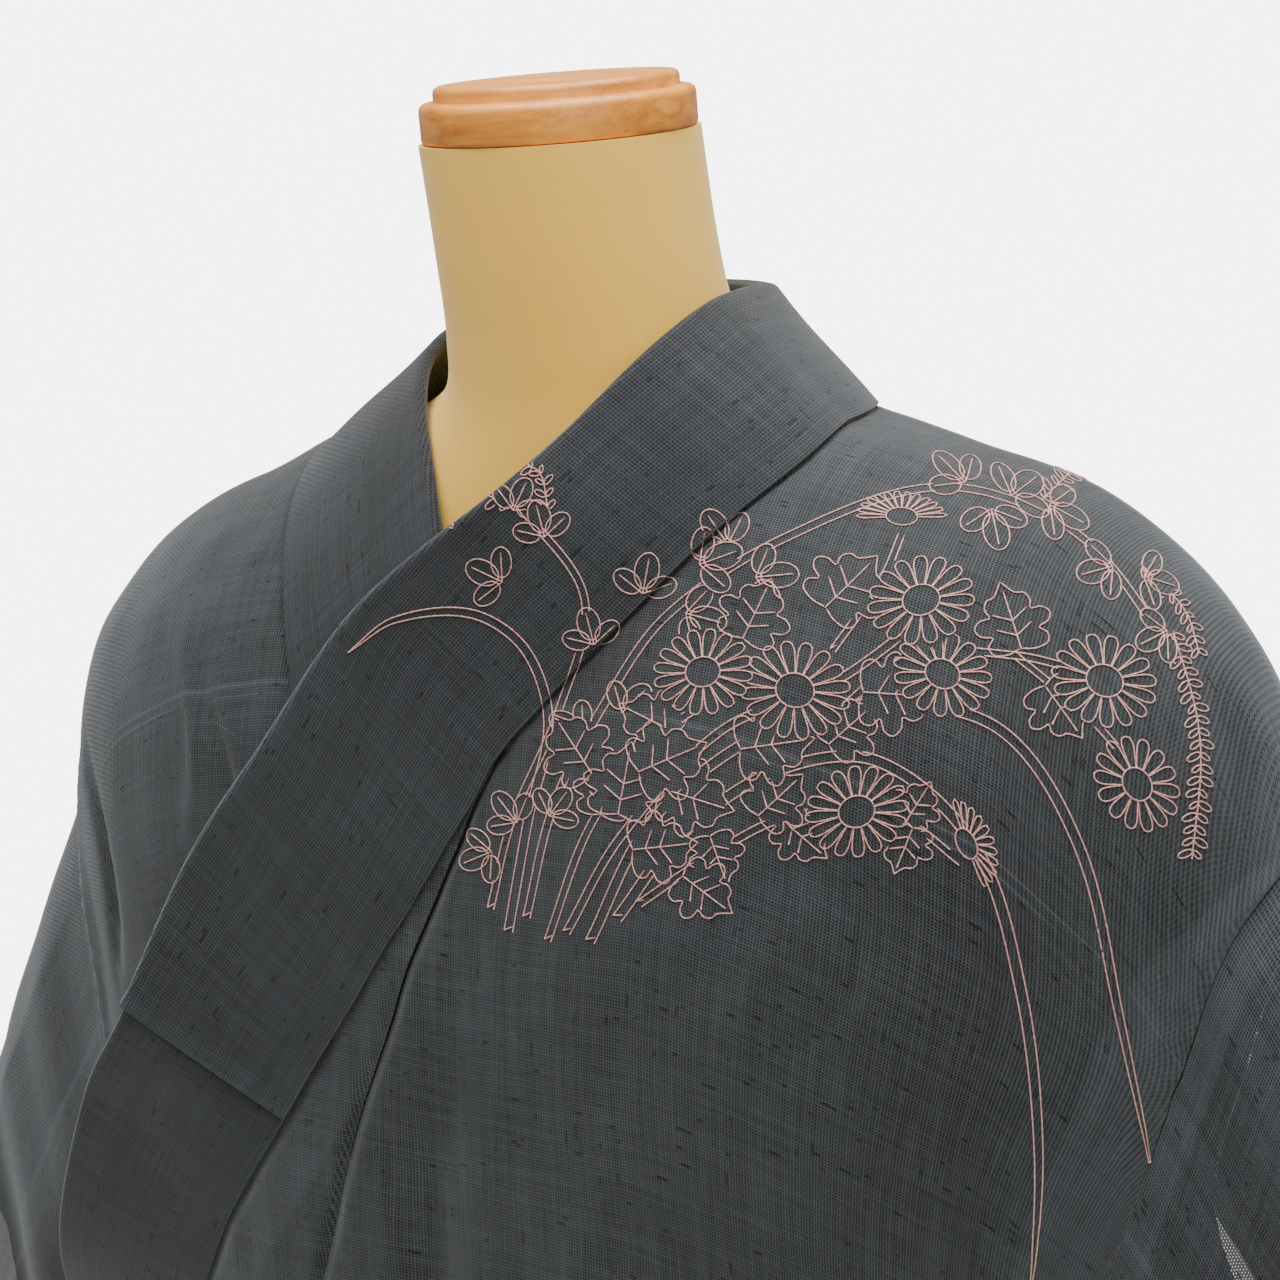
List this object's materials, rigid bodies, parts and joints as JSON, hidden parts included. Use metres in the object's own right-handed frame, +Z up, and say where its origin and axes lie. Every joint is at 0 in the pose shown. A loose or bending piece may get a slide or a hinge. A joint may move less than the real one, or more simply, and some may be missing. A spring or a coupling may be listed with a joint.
{
  "type": "kimono on a dress form",
  "caption": "Open-sleeved summer kimono, crossed left over right, hanging full length on a limbless dress form with a turned neck cap and round foot.",
  "frame": {"origin": "middle of the stand's foot on its flat underside", "axes": "+Z up, the front faces -Y, the wearer's left is +X"},
  "size_m": [0.856, 0.3014, 1.6503],
  "materials": {
    "kimono_cloth": "sheer slubbed blue-grey plain weave with a dry matt surface",
    "collar_cloth": "the same weave folded double, so darker and opaque",
    "form_jersey": "fine cream jersey stretched over the padded form",
    "cap_wood": "varnished turned wood",
    "stand_steel": "bright plated steel"
  },
  "bodies": {
    "root": {"body_left": "kimono_cloth", "body_right": "kimono_cloth", "okumi_left": "kimono_cloth", "okumi_right": "kimono_cloth", "sleeve_left": "kimono_cloth", "sleeve_right": "kimono_cloth", "eri": "collar_cloth", "tomoeri": "collar_cloth", "dress_form": "form_jersey", "neck_cap": "cap_wood", "pole": "stand_steel", "foot": "stand_steel"}
  },
  "joints": []
}
